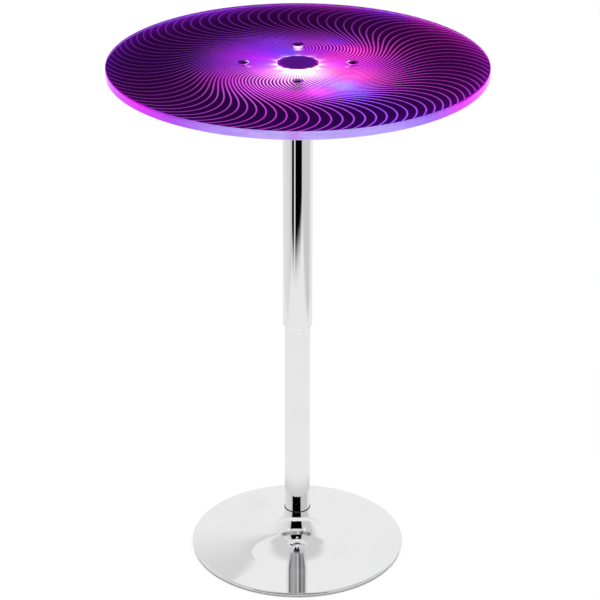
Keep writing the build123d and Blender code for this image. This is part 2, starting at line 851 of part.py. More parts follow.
with BuildPart(Plane.XY.offset(head_bottom)) as table_screws:
    with PolarLocations(screw_circle_radius, screw_count):
        Cylinder(screw_head_radius, screw_head_height, align=rising)
    chamfer(table_screws.edges().group_by(Axis.Z)[-1], screw_head_chamfer)
    with BuildSketch(Plane.XY.offset(head_bottom + screw_head_height)):
        with PolarLocations(screw_circle_radius, screw_count):
            RegularPolygon(screw_socket_flat, 6, major_radius=False)
    extrude(amount=-screw_socket_depth, mode=Mode.SUBTRACT)
    with PolarLocations(screw_circle_radius, screw_count):
        Cylinder(screw_radius, head_bottom - plate_bottom + weld_nut_height, align=hanging)
table_screws.part.label = "table_screws"
export_step(table_screws.part, "parts/table_screws.step")

# Light drum: a twelve-sided cup on a flange that is screwed to the seat plate
floor_top = plate_top + drum_flange_thickness
with BuildPart() as led_core:
    with BuildSketch(level(plate_top)):
        Circle(drum_flange_radius)
    extrude(amount=drum_flange_thickness)
    with BuildSketch(level(floor_top)):
        RegularPolygon(drum_flat, drum_sides, major_radius=False)
        Circle(drum_bore_radius, mode=Mode.SUBTRACT)
    extrude(amount=drum_top - floor_top)
    with BuildSketch(level(plate_top)):
        with Locations((lead_along, lead_across)):
            Circle(lead_radius + slip_gap)
    extrude(amount=drum_flange_thickness, mode=Mode.SUBTRACT)
    with Locations(level(floor_top)):
        with PolarLocations(core_screw_circle_radius, core_screw_count, start_angle=90):
            CounterSinkHole(core_screw_radius + slip_gap, core_screw_head_radius + slip_gap)
led_core.part.label = "led_core"
export_step(led_core.part, "parts/led_core.step")

with BuildPart(level(floor_top)) as core_screws:
    with PolarLocations(core_screw_circle_radius, core_screw_count, start_angle=90):
        Cone(
            core_screw_radius,
            core_screw_head_radius,
            core_screw_head_radius - core_screw_radius,
            align=hanging,
        )
        Cylinder(core_screw_radius, core_screw_length, align=hanging)
core_screws.part.label = "core_screws"
export_step(core_screws.part, "parts/core_screws.step")

strip_flat = drum_flat + strip_thickness
with BuildPart() as led_strip:
    with BuildSketch(level(light_height - strip_height / 2)):
        RegularPolygon(strip_flat, drum_sides, major_radius=False)
        RegularPolygon(drum_flat, drum_sides, major_radius=False, mode=Mode.SUBTRACT)
    extrude(amount=strip_height)
led_strip.part.label = "led_strip"
export_step(led_strip.part, "parts/led_strip.step")

flat_angle = 180 / drum_sides
with BuildPart(level(light_height)) as led_emitters:
    with PolarLocations(strip_flat + emitter_depth / 2, drum_sides, start_angle=flat_angle):
        Box(emitter_depth, emitter_width, emitter_width)
led_emitters.part.label = "led_emitters"
export_step(led_emitters.part, "parts/led_emitters.step")

with BuildPart() as led_cap:
    skirt_radius = drum_bore_radius - seat_gap
    cap_radius = core_hole_radius - seat_gap
    turn(
        (0, drum_top),
        (skirt_radius - cap_skirt_wall, drum_top),
        (skirt_radius - cap_skirt_wall, drum_top - cap_skirt_height),
        (skirt_radius, drum_top - cap_skirt_height),
        (skirt_radius, drum_top),
        (cap_radius, drum_top),
        (cap_radius, drum_top + cap_thickness - cap_chamfer),
        (cap_radius - cap_chamfer, drum_top + cap_thickness),
        (0, drum_top + cap_thickness),
    )
led_cap.part.label = "led_cap"
export_step(led_cap.part, "parts/led_cap.step")

with BuildPart(level(floor_top, lead_along, lead_across)) as core_terminal:
    Box(terminal_width, terminal_width, terminal_height, align=rising)
core_terminal.part.label = "core_terminal"
export_step(core_terminal.part, "parts/core_terminal.step")

# Control box: a tray taped under the film, with screw bosses, board posts and cell ribs
box_centre = box_near_edge + box_length / 2
box_top = film_bottom - tape_thickness
tray_ceiling = box_top - box_wall
cover_bottom = box_top - box_height
cover_top = cover_bottom + box_wall
board_top = tray_ceiling - standoff_height
board_bottom = board_top - board_thickness
boss_along = box_width - 2 * boss_inset
boss_across = box_length - 2 * boss_inset
cell_radius = (tray_ceiling - cover_top - seat_gap - cell_top_room) / 2
cell_height = cover_top + seat_gap + cell_radius
contact_start = box_width / 2 - box_wall - cell_end_room - cell_rib_thickness - contact_thickness
rib_middle = contact_start + contact_thickness + cell_rib_thickness / 2
cell_bank_width = 4 * cell_radius
cell_shift_across = box_length / 2 - box_wall - cell_side_room - cell_bank_width / 2
board_width = box_width - 2 * (box_wall + board_end_room)
board_start = box_wall + board_wall_room - box_length / 2
board_end = cell_shift_across - cell_bank_width / 2 - board_cell_room
board_length = board_end - board_start
board_shift_across = (board_start + board_end) / 2
connector_start = board_start
jack_middle = board_bottom - jack_height / 2
jack_across = board_shift_across

with BuildPart() as box_tape:
    with BuildSketch(level(box_top, 0, box_centre)):
        RectangleRounded(box_width - 2 * tape_margin, box_length - 2 * tape_margin, box_corner)
    extrude(amount=tape_thickness)
box_tape.part.label = "box_tape"
export_step(box_tape.part, "parts/box_tape.step")

with BuildPart() as control_box:
    with BuildSketch(level(cover_top, 0, box_centre)):
        RectangleRounded(box_width, box_length, box_corner)
    extrude(amount=box_top - cover_top)
    fillet(control_box.edges().group_by(Axis.Z)[-1], box_edge_round)
    with BuildSketch(level(cover_top, 0, box_centre)):
        RectangleRounded(box_width - 2 * box_wall, box_length - 2 * box_wall, box_corner - box_wall)
    extrude(amount=tray_ceiling - cover_top, mode=Mode.SUBTRACT)
    with BuildSketch(level(cover_top, 0, box_centre)):
        with GridLocations(boss_along, boss_across, 2, 2):
            Circle(boss_radius)
    extrude(amount=tray_ceiling - cover_top)
    with BuildSketch(level(cover_top, 0, box_centre)):
        with GridLocations(boss_along, boss_across, 2, 2):
            Circle(cover_screw_radius + running_gap)
    extrude(amount=cover_screw_grip + seat_gap, mode=Mode.SUBTRACT)
    with BuildSketch(level(board_top, board_shift_along, box_centre + board_shift_across)):
        with GridLocations(board_width - 4 * standoff_radius, board_length - 4 * standoff_radius, 2, 2):
            Circle(standoff_radius)
    extrude(amount=standoff_height)
    with BuildSketch(level(tray_ceiling - cell_rib_height, 0, box_centre + cell_shift_across)):
        with GridLocations(2 * rib_middle, 0, 2, 1):
            Rectangle(cell_rib_thickness, cell_bank_width)
    extrude(amount=cell_rib_height)
    with BuildSketch(crosswise(box_width / 2)):
        with Locations((box_centre + jack_across, jack_middle)):
            Circle(jack_collar_radius + slip_gap)
    extrude(amount=-box_wall, mode=Mode.SUBTRACT)
    with BuildSketch(lengthwise(box_near_edge)):
        with Locations((lead_along, lead_height)):
            Circle(lead_hole_radius)
    extrude(amount=-box_wall, mode=Mode.SUBTRACT)
control_box.part.label = "control_box"
export_step(control_box.part, "parts/control_box.step")

with BuildPart() as control_cover:
    with BuildSketch(level(cover_bottom, 0, box_centre)):
        RectangleRounded(box_width, box_length, box_corner)
        with GridLocations(boss_along, boss_across, 2, 2):
            Circle(cover_screw_radius + slip_gap, mode=Mode.SUBTRACT)
        with Locations((board_shift_along, board_shift_across)):
            Circle(button_radius + slip_gap, mode=Mode.SUBTRACT)
    extrude(amount=box_wall)
control_cover.part.label = "control_cover"
export_step(control_cover.part, "parts/control_cover.step")

with BuildPart(level(cover_bottom, 0, box_centre)) as cover_screws:
    with GridLocations(boss_along, boss_across, 2, 2):
        Cylinder(cover_screw_head_radius, cover_screw_head_height, align=hanging)
        Cylinder(cover_screw_radius, box_wall + cover_screw_grip, align=rising)
cover_screws.part.label = "cover_screws"
export_step(cover_screws.part, "parts/cover_screws.step")

# Board with the lead's connector and a few chips, its switch and the charging inlet
with BuildPart() as control_board:
    with BuildSketch(level(board_bottom, board_shift_along, box_centre + board_shift_across)):
        Rectangle(board_width, board_length)
    extrude(amount=board_thickness)
    with BuildSketch(level(board_bottom, 0, box_centre)):
        with Locations((lead_along, connector_start + connector_length / 2)):
            Rectangle(connector_width, connector_length)
    extrude(amount=-connector_height)
    with BuildSketch(level(board_bottom, 0, box_centre + board_shift_across)):
        with GridLocations(2 * chip_width, chip_width, 2, 1):
            Rectangle(chip_width, chip_width)
        with Locations((chip_width, 0)):
            Rectangle(2 * chip_width, 2 * chip_width, mode=Mode.SUBTRACT)
    extrude(amount=-chip_height)
control_board.part.label = "control_board"
export_step(control_board.part, "parts/control_board.step")

with BuildPart() as mode_switch:
    with BuildSketch(level(board_bottom, board_shift_along, box_centre + board_shift_across)):
        Rectangle(switch_width, switch_width)
        Circle(button_post_radius + slip_gap, mode=Mode.SUBTRACT)
    extrude(amount=-switch_height)
mode_switch.part.label = "mode_switch"
export_step(mode_switch.part, "parts/mode_switch.step")

with BuildPart() as dc_jack:
    with BuildSketch(crosswise(box_width / 2 - box_wall)):
        with Locations((box_centre + jack_across, jack_middle)):
            Rectangle(jack_width, jack_height)
    extrude(amount=-(jack_depth - box_wall))
    with BuildSketch(crosswise(box_width / 2)):
        with Locations((box_centre + jack_across, jack_middle)):
            Circle(jack_collar_radius)
    extrude(amount=-box_wall)
    with BuildSketch(crosswise(box_width / 2)):
        with Locations((box_centre + jack_across, jack_middle)):
            Circle(jack_bore_radius)
    extrude(amount=-jack_bore_depth, mode=Mode.SUBTRACT)
    with BuildSketch(crosswise(box_width / 2 - jack_bore_depth)):
        with Locations((box_centre + jack_across, jack_middle)):
            Circle(jack_pin_radius)
    extrude(amount=jack_bore_depth - jack_pin_setback)
dc_jack.part.label = "dc_jack"
export_step(dc_jack.part, "parts/dc_jack.step")

# Two round cells between sprung contact plates
with BuildPart() as battery_cells:
    with BuildSketch(crosswise()):
        with Locations((box_centre + cell_shift_across, cell_height)):
            with GridLocations(2 * cell_radius + seat_gap, 0, 2, 1):
                Circle(cell_radius)
    extrude(amount=contact_start, both=True)
battery_cells.part.label = "battery_cells"
export_step(battery_cells.part, "parts/battery_cells.step")

with BuildPart() as cell_contacts:
    with BuildSketch(level(cell_height - contact_height / 2, 0, box_centre + cell_shift_across)):
        with GridLocations(2 * contact_start + contact_thickness, 0, 2, 1):
            Rectangle(contact_thickness, cell_bank_width)
    extrude(amount=contact_height)
cell_contacts.part.label = "cell_contacts"
export_step(cell_contacts.part, "parts/cell_contacts.step")

# Push button: cap, retaining flange and the post that enters the switch
button_face = cover_bottom - button_stand
flange_bottom = cover_top + seat_gap
post_top = board_bottom - button_travel - seat_gap
with BuildPart(level(button_face, board_shift_along, box_centre + board_shift_across)) as mode_button:
    Cylinder(button_radius, flange_bottom - button_face, align=rising)
    fillet(mode_button.edges().group_by(Axis.Z)[0], button_round)
    with Locations((0, 0, flange_bottom - button_face)):
        Cylinder(button_flange_radius, button_flange_thickness, align=rising)
        Cylinder(button_post_radius, post_top - flange_bottom, align=rising)
mode_button.part.label = "mode_button"
export_step(mode_button.part, "parts/mode_button.step")

# Lead from the terminal down through the plate and across to the board's connector
with BuildPart() as led_lead:
    with BuildLine(crosswise(lead_along)) as lead_route:
        FilletPolyline(
            (lead_across, floor_top),
            (lead_across, lead_height),
            (box_centre + connector_start, lead_height),
            radius=lead_bend_radius,
        )
    with BuildSketch(Plane(origin=lead_route.line @ 0, z_dir=lead_route.line % 0)):
        Circle(lead_radius)
    sweep()
led_lead.part.label = "led_lead"
export_step(led_lead.part, "parts/led_lead.step")

# Rubber grommets where the lead passes the channel's wall and the box's wall
grommet_sites = ((channel_half - channel_wall, channel_wall), (box_near_edge, box_wall))
with BuildPart() as lead_grommets:
    for wall_start, wall in grommet_sites:
        start = wall_start - grommet_lip_thickness
        with BuildSketch(lengthwise(start)) as lips:
            with Locations((lead_along, lead_height)):
                Circle(lead_hole_radius + grommet_lip)
        extrude(lips.sketch, amount=-grommet_lip_thickness)
        with BuildSketch(lengthwise(wall_start + wall)) as far_lips:
            with Locations((lead_along, lead_height)):
                Circle(lead_hole_radius + grommet_lip)
        extrude(far_lips.sketch, amount=-grommet_lip_thickness)
        with BuildSketch(lengthwise(start)) as waist:
            with Locations((lead_along, lead_height)):
                Circle(lead_hole_radius - slip_gap)
        extrude(waist.sketch, amount=-(wall + 2 * grommet_lip_thickness))
        with BuildSketch(lengthwise(start)) as bore:
            with Locations((lead_along, lead_height)):
                Circle(lead_radius + slip_gap)
        extrude(bore.sketch, amount=-(wall + 2 * grommet_lip_thickness), mode=Mode.SUBTRACT)
lead_grommets.part.label = "lead_grommets"
export_step(lead_grommets.part, "parts/lead_grommets.step")

# Lever pin through the channel's walls, grooved for a clip at each end
pin_half = channel_half + pivot_pin_stand
clip_start = channel_half + seat_gap
with BuildPart() as lever_pin:
    with BuildSketch(lengthwise()):
        with Locations((pivot_along, pivot_height)):
            Circle(pivot_pin_radius)
    extrude(amount=pin_half, both=True)
    for side in (-1, 1):
        with BuildSketch(lengthwise(side * clip_start)) as groove:
            with Locations((pivot_along, pivot_height)):
                Circle(pivot_pin_radius + overrun)
                Circle(pivot_pin_radius - pin_groove_depth, mode=Mode.SUBTRACT)
        extrude(groove.sketch, amount=-side * pin_clip_thickness, mode=Mode.SUBTRACT)
lever_pin.part.label = "lever_pin"
export_step(lever_pin.part, "parts/lever_pin.step")

pin_clip_bore = pivot_pin_radius - pin_groove_depth + slip_gap
with BuildPart() as pin_clips:
    for side in (-1, 1):
        clip_plane = lengthwise(side * clip_start)
        clip_plane.origin += along * pivot_along + upward * pivot_height
        retaining_clip(pin_clip_bore, pin_clip_bore + pin_clip_reach, -side * pin_clip_thickness, clip_plane)
pin_clips.part.label = "pin_clips"
export_step(pin_clips.part, "parts/pin_clips.step")

# Release lever: barrel on the pin, tongue over the valve pin and a drooping round rod
droop = radians(lever_droop)
rod_direction = along * cos(droop) + upward * -sin(droop)
pivot_point = along * pivot_along + upward * pivot_height
tongue_bottom = valve_pin_top + seat_gap
barrel_half = channel_half - channel_wall - seat_gap
with BuildPart() as lift_lever:
    with BuildSketch(lengthwise()):
        with Locations((pivot_along, pivot_height)):
            Circle(lever_barrel_radius)
    extrude(amount=barrel_half, both=True)
    with BuildSketch(lengthwise()):
        with Locations((-lever_tongue_reach, tongue_bottom)):
            Rectangle(
                pivot_along + lever_tongue_reach,
                lever_tongue_thickness,
                align=(Align.MIN, Align.MIN),
            )
    extrude(amount=lever_tongue_width / 2, both=True)
    with BuildSketch(Plane(origin=pivot_point, x_dir=across, z_dir=rod_direction)):
        Circle(lever_rod_radius)
    extrude(amount=lever_rod_length)
    with BuildSketch(lengthwise()):
        with Locations((pivot_along, pivot_height)):
            Circle(pivot_pin_radius + running_gap)
    extrude(amount=channel_half, both=True, mode=Mode.SUBTRACT)
lift_lever.part.label = "lift_lever"
export_step(lift_lever.part, "parts/lift_lever.step")

# Moulded grip: a rounded paddle pushed over the rod's end
rod_tip = pivot_point + rod_direction * lever_rod_length
grip_start = rod_tip - rod_direction * grip_overlap
grip_up = rod_direction.cross(across)
with BuildPart() as lever_grip:
    with BuildSketch(Plane(origin=grip_start, x_dir=rod_direction, z_dir=grip_up)):
        with Locations((grip_length / 2, 0)):
            RectangleRounded(grip_length, grip_width, grip_corner)
    extrude(amount=grip_thickness / 2, both=True)
    rims = lever_grip.faces().filter_by(Plane(origin=grip_start, z_dir=grip_up)).edges()
    fillet(rims, grip_round)
    with BuildSketch(Plane(origin=grip_start, x_dir=across, z_dir=rod_direction)):
        Circle(lever_rod_radius + slip_gap)
    extrude(amount=grip_overlap + seat_gap, mode=Mode.SUBTRACT)
lever_grip.part.label = "lever_grip"
export_step(lever_grip.part, "parts/lever_grip.step")
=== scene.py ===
from math import radians

import bmesh
import bpy
from mathutils import Matrix, Vector


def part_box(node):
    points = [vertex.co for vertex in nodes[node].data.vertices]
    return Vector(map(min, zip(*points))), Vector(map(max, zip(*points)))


# Light up pedestal table. Metres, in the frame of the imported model: the origin is on the
# floor below the column, +Z is up and the camera stands on the -Y side.

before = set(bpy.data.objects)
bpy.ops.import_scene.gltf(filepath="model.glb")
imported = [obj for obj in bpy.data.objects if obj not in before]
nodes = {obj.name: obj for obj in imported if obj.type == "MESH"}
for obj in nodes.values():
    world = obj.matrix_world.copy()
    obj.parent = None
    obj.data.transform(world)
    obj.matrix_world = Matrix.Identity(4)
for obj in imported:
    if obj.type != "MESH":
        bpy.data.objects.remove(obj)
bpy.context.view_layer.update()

# Camera, set to the photograph's angle
camera_place = (0.0040, -3.305, 2.029)
camera_tilt = 64.6
camera_roll = 0.12
camera_lens = 134.04
camera_sensor = 36.0

# Floor of the studio
floor_size = 14.0
floor_white = 0.86
floor_shadow_start = 0.2
floor_clear_radius = 0.9
floor_tone = 0.9
foot_clear_radius = 0.19
sky_level = 0.62

# Hood that keeps reflections off the lit top
hood_radius = 0.306
hood_height = 0.7
hood_drop = 0.006
hood_segments = 96

# What polished metal sees: bright screens round the table, with dark gaps between them.
# Azimuths are degrees to the right of the direction towards the camera.
near_level = 0.86
rim_shade = 0.75
rim_shade_end = 0.27
front_floor_start = 1.03
front_floor_end = 1.42
side_floor_start = 0.85
side_floor_end = 1.0
left_bulge = 0.35
gap_edges = (-18.0, 32.0)
line_edges = (-45.0, -27.0)
gap_softness = 2.0
low_gap_top = 29.0
high_gap = (52.0, 79.0)
column_start = 38.3
column_gap = (-98.0, 88.0)
column_level = 0.34
column_softness = (8.0, 1.5)
streak_softness = 3.0
low_gap_softness = 1.5
high_gap_softness = 2.0

# Streaks before the column's upper gap: azimuth, half width and brightness
column_streaks = (
    (-88.0, 12.0, 0.16),
    (-40.0, 14.0, 0.42),
    (6.0, 6.0, 0.62),
    (30.0, 8.0, 0.10),
    (80.0, 12.0, 0.18),
)

# Brightness of the screens by azimuth
far_tones = (
    (-180.0, 0.89),
    (-95.0, 0.76),
    (-70.0, 0.74),
    (-50.0, 0.62),
    (-24.0, 0.80),
    (40.0, 0.62),
    (84.0, 0.63),
    (90.0, 0.56),
    (96.0, 0.66),
    (125.0, 0.89),
)

# Screen overhead, and two faint shades low on the far side: heights and azimuths in degrees
overhead_level = 0.66
overhead_start = 43.0
overhead_end = 49.0
overhead_azimuth = (70.0, 100.0)
sweep_edge = 37.6
sweep_start = 28.5
sweep_azimuth = (-175.2, -120.0)
sweep_softness = 0.5
sweep_level = 0.78
smudge_azimuth = (-178.9, -176.6)
smudge_height = (24.8, 27.5)
smudge_softness = (0.6, 1.0)
smudge_level = 0.88

# Small lamps that the foot's neck shows: azimuth, height, radius and brightness
neck_lamps = ((0.0, 66.0, 5.0, 0.8), (-56.0, 31.0, 7.0, 1.0), (50.0, 31.0, 7.0, 1.0))
neck_lamp_core = 0.6

# Soft lamps that light the scene: name, place, size in metres and power in watts
lamp_target = (0.0, 0.0, 0.5)
lamps = (
    ("left_lamp", (-2.4, -2.2, 2.6), 1.8, 70.0),
    ("right_lamp", (2.6, -1.6, 2.2), 1.8, 45.0),
    ("top_lamp", (0.0, 0.8, 3.2), 2.2, 40.0),
)

# Sizes of the lit top, in metres: its box and the cap's are read from the model
top_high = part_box("table_top")[1]
cap_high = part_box("led_cap")[1]
top_radius = top_high.x
well_radius = cap_high.x
screw_circle = 0.085
bore_radius = 0.0085

# Wave lines on the film: ninety lines whose turn about the axis depends on the radius.
# Lengths in millimetres, as in all the film's light.
millimetres = 1000.0
line_count = 90
wave_crest = 231.0
wave_pull = 0.0019
wave_swell = 110.0
wave_reach = 143.0
wave_fall = 4.8
line_spread = 0.7


def grey(level):
    """A neutral colour."""
    return (level,) * 3


def turn(degrees):
    """Unit vector at an azimuth."""
    return Matrix.Rotation(radians(degrees), 2) @ Vector((1, 0))


class Wire:
    """An output in a node tree. Arithmetic on it adds Math nodes."""

    def __init__(self, paint, socket):
        self.paint = paint
        self.socket = socket

    def math(self, operation, *others):
        return self.join(operation, self, *others)

    def join(self, operation, *values):
        return self.paint.node("ShaderNodeMath", {"operation": operation}, dict(enumerate(values)))

    def __add__(self, other):
        return self.join("ADD", self, other)

    def __radd__(self, other):
        return self.join("ADD", other, self)

    def __sub__(self, other):
        return self.join("SUBTRACT", self, other)

    def __rsub__(self, other):
        return self.join("SUBTRACT", other, self)

    def __mul__(self, other):
        return self.join("MULTIPLY", self, other)

    def __rmul__(self, other):
        return self.join("MULTIPLY", other, self)

    def __truediv__(self, other):
        return self.join("DIVIDE", self, other)

    def __pow__(self, other):
        return self.join("POWER", self, other)

    def __neg__(self):
        return self.join("MULTIPLY", self, -1.0)

    def __abs__(self):
        return self.join("ABSOLUTE", self)

    def __gt__(self, other):
        return self.join("GREATER_THAN", self, other)


class Paint:
    """The node tree of one material or of the world."""

    def __init__(self, owner):
        owner.use_nodes = True
        self.owner = owner
        self.tree = owner.node_tree

    def node(self, kind, settings, inputs, output=0):
        """Add a node, make its settings, feed its sockets and return one output."""
        made = self.tree.nodes.new(kind)
        for name, setting in settings.items():
            if name == "stops":
                self.set_stops(made.color_ramp.elements, setting)
            else:
                setattr(made, name, setting)
        for name, value in inputs.items():
            self.feed(made.inputs[name], value)
        return Wire(self, made.outputs[output])

    def set_stops(self, elements, stops):
        while len(elements) < len(stops):
            elements.new(1.0)
        for element, (place, colour) in zip(elements, stops):
            element.position = place
            element.color = (*colour, 1.0)

    def feed(self, socket, value):
        if isinstance(value, Wire):
            self.tree.links.new(value.socket, socket)
        elif isinstance(value, tuple) and socket.type == "RGBA":
            socket.default_value = (*value, 1.0)
        else:
            socket.default_value = value

    def axes(self, vector):
        """The three parts of a vector wire."""
        return [self.node("ShaderNodeSeparateXYZ", {}, {0: vector}, axis) for axis in "XYZ"]

    def place(self):
        """Object coordinates, as three wires in metres."""
        return self.axes(self.node("ShaderNodeTexCoord", {}, {}, "Object"))

    def turned(self):
        """Radius, azimuth and height wires about the column's axis."""
        x, y, z = self.place()
        return (x * x + y * y).math("SQRT"), y.math("ARCTAN2", x), z

    def upward(self):
        """1 on a face that looks up and 0 on one that looks down."""
        normal = self.node("ShaderNodeNewGeometry", {}, {}, "True Normal")
        return self.axes(normal)[2] > 0.5

    def rays(self):
        """Camera, glossy and transmission rays, each a wire of 0 or 1."""
        kinds = ("Is Camera Ray", "Is Glossy Ray", "Is Transmission Ray")
        return [self.node("ShaderNodeLightPath", {}, {}, kind) for kind in kinds]

    def noise(self, scale, detail=3.0, roughness=0.5, stretch=(1.0, 1.0, 1.0)):
        """Noise from 0 to 1 on Object coordinates; stretch is its scale along each axis."""
        point = self.node("ShaderNodeTexCoord", {}, {}, "Object")
        point = self.node("ShaderNodeMapping", {}, {"Vector": point, "Scale": stretch})
        inputs = {"Vector": point, "Scale": scale, "Detail": detail, "Roughness": roughness}
        return self.node("ShaderNodeTexNoise", {}, inputs, 0)

    def stripes(self, along, scale, detail=1.0):
        """Noise that changes along one wire only."""
        inputs = {"W": along * scale, "Scale": 1.0, "Detail": detail}
        return self.node("ShaderNodeTexNoise", {"noise_dimensions": "1D"}, inputs, 0)

    def step(self, value, low, high):
        """Smooth step: 0 at low and 1 at high, which may lie the other way round."""
        inputs = {"Value": value, "From Min": low, "From Max": high}
        return self.node("ShaderNodeMapRange", {"interpolation_type": "SMOOTHSTEP"}, inputs)

    def band(self, value, low, high, softness):
        """1 between two values and 0 outside them."""
        rise = self.step(value, low - softness, low + softness)
        return rise * self.step(value, high + softness, high - softness)

    def ramp(self, share, stops):
        """Colours along a wire from 0 to 1."""
        return self.node("ShaderNodeValToRGB", {"stops": stops}, {0: share})

    def profile(self, value, points):
        """A level that runs straight between points of value and level."""
        far = points[-1][0]
        return self.ramp(value / far, [(place / far, grey(level)) for place, level in points])

    def blend(self, factor, first, second):
        """Mix two colours."""
        settings = {"data_type": "RGBA"}
        return self.node("ShaderNodeMix", settings, {0: factor, 6: first, 7: second}, 2)

    def dim(self, colour, amount):
        """A colour times a number."""
        inputs = {0: colour, "Scale": amount}
        return self.node("ShaderNodeVectorMath", {"operation": "SCALE"}, inputs)

    def gather(self, *colours):
        """The sum of several colours."""
        total = colours[0]
        for colour in colours[1:]:
            total = self.node("ShaderNodeVectorMath", {"operation": "ADD"}, {0: total, 1: colour})
        return total

    def bell(self, angle, middle, width):
        """A smooth peak of 1 at one azimuth; width is in degrees."""
        lean = (angle - radians(middle)).math("COSINE") - 1.0
        return (lean / radians(width) ** 2).math("EXPONENT")

    def spot(self, radius, angle, middle, distance, width):
        """A soft round patch on the top: azimuth in degrees, distance and width in millimetres."""
        centre = distance * turn(middle)
        x = radius * angle.math("COSINE") - centre.x
        y = radius * angle.math("SINE") - centre.y
        return ((x * x + y * y) * (-1.0 / width ** 2)).math("EXPONENT")


class Finish(Paint):
    """A material with one Principled shader."""

    def __init__(self, name, **constants):
        super().__init__(bpy.data.materials.new(name))
        self.shader = self.tree.nodes["Principled BSDF"]
        for socket, value in constants.items():
            self.set(socket.replace("_", " "), value)

    def set(self, socket, value):
        self.feed(self.shader.inputs[socket], value)

    def relief(self, height, depth):
        """Surface relief from a height wire; depth is in metres."""
        inputs = {"Height": height, "Distance": depth, "Strength": 1.0}
        self.set("Normal", self.node("ShaderNodeBump", {}, inputs))

    def coat(self, *names):
        """Give this material to CAD nodes."""
        for name in names:
            if not nodes[name].material_slots:
                nodes[name].data.materials.append(self.owner)
            for material_slot in nodes[name].material_slots:
                material_slot.material = self.owner


# Bright plate: where smudges and dust start and end in their noise, tones, roughness, and the
# depth of the polishing lines in metres
smudge_range = (0.45, 0.75)
dust_range = (0.74, 0.8)
plate_clean = (0.93, 0.93, 0.94)
plate_smudged = (0.90, 0.90, 0.91)
plate_dusty = grey(0.82)
plate_roughness = 0.022
smudge_roughness = 0.03
polish_roughness = 0.012
dust_roughness = 0.1
polish_depth = 0.0000012


def chrome(name, polish_of):
    """Bright plate: crisp, with faint polishing lines, smudges and dust."""
    finish = Finish(name, Metallic=1.0)
    cloud = finish.step(finish.noise(9.0, 4.0, 0.6), *smudge_range)
    dust = finish.step(finish.noise(900.0, 1.0, 0.4), *dust_range)
    polish = polish_of(finish)
    tone = finish.blend(cloud, plate_clean, plate_smudged)
    finish.set("Base Color", finish.blend(dust, tone, plate_dusty))
    roughness = plate_roughness + smudge_roughness * cloud
    finish.set("Roughness", roughness + polish_roughness * polish + dust_roughness * dust)
    finish.relief(polish, polish_depth)
    return finish


def ring_polish(finish):
    """Fine rings left by spinning and polishing a disc."""
    return finish.stripes(finish.turned()[0], 1400.0, 2.0)


def tube_polish(finish):
    """Fine marks round a tube from polishing."""
    return finish.stripes(finish.place()[2], 900.0)


def wave_turn(radius):
    """How far the wave lines lag behind the crest, in degrees, at a radius in millimetres."""
    reach = abs(radius - wave_crest)
    swell = 1.0 + (reach / wave_swell) ** 2.0
    fall = 1.0 + (reach / wave_reach) ** wave_fall
    return wave_pull * reach * reach * swell / fall


def wave_lines(paint, radius, angle):
    """Soft mask of the lit lines, which keep one width in millimetres."""
    step = 0.5
    lag = wave_turn(radius)
    climb = (wave_turn(radius + step) - lag) / step * radians(1.0) * radius
    phase = (angle / radians(1.0) + lag) * (line_count / 360.0)
    offset = abs(phase.math("FRACT") - 0.5)
    pitch = radius * (radians(360.0) / line_count) / (1.0 + climb * climb).math("SQRT")
    return ((offset * pitch / line_spread) ** 2.0 * -0.5).math("EXPONENT")


# Hues round the axis, as azimuth and colour: the lit lines, the glow behind them, and the
# haze at the slab's rim
line_hues = (
    (-180.0, (0.06, 0.018, 0.17)),
    (-150.0, (0.17, 0.024, 0.17)),
    (-120.0, (0.38, 0.06, 0.50)),
    (-90.0, (0.54, 0.045, 0.52)),
    (-60.0, (0.40, 0.10, 1.15)),
    (-30.0, (0.50, 0.05, 0.42)),
    (0.0, (0.23, 0.022, 0.27)),
    (30.0, (0.34, 0.03, 0.26)),
    (60.0, (0.16, 0.022, 0.28)),
    (90.0, (0.11, 0.012, 0.15)),
    (120.0, (0.11, 0.018, 0.27)),
    (150.0, (0.09, 0.017, 0.18)),
)
glow_hues = (
    (-180.0, (0.44, 0.00, 0.80)),
    (-150.0, (0.74, 0.00, 0.84)),
    (-120.0, (0.64, 0.01, 0.43)),
    (-90.0, (0.52, 0.01, 0.46)),
    (-60.0, (0.60, 0.12, 0.35)),
    (-30.0, (0.66, 0.00, 0.24)),
    (0.0, (0.77, 0.00, 0.81)),
    (30.0, (0.56, 0.00, 0.42)),
    (60.0, (0.34, 0.00, 0.49)),
    (80.0, (0.30, 0.01, 0.60)),
    (102.0, (0.10, 0.04, 0.72)),
    (125.0, (0.18, 0.01, 0.78)),
    (150.0, (0.47, 0.00, 0.91)),
)
rim_hues = (
    (-180.0, (0.035, 0.001, 0.13)),
    (-150.0, (0.012, 0.001, 0.035)),
    (-90.0, (0.050, 0.002, 0.19)),
    (-60.0, (0.050, 0.004, 0.27)),
    (0.0, (0.115, 0.002, 0.17)),
    (30.0, (0.38, 0.008, 0.38)),
    (45.0, (0.50, 0.012, 0.50)),
    (60.0, (0.22, 0.012, 0.80)),
    (77.0, (0.34, 0.012, 0.40)),
    (95.0, (0.20, 0.012, 0.42)),
    (120.0, (0.26, 0.018, 0.74)),
    (150.0, (0.10, 0.002, 0.25)),
)

# Strength of the lines and of the glow by radius in millimetres
line_reach = (
    (36.0, 0.65),
    (65.0, 0.9),
    (85.0, 1.1),
    (140.0, 1.05),
    (175.0, 0.78),
    (215.0, 0.5),
    (300.0, 0.5),
)
glow_reach = ((36.0, 0.9), (65.0, 1.0), (85.0, 0.75), (110.0, 0.48), (140.0, 0.12), (175.0, 0.0))
line_gain = 3.3
glow_gain = 1.2
field_light = (0.031, 0.0018, 0.053)
haze_radius = 300.0
haze_width = 14.0

# Broad faint fields of painted light: colour, azimuth and width in degrees
field_glows = (((0.0, 0.0, 0.035), -60.0, 35.0), ((0.012, 0.0, 0.0), 15.0, 45.0))

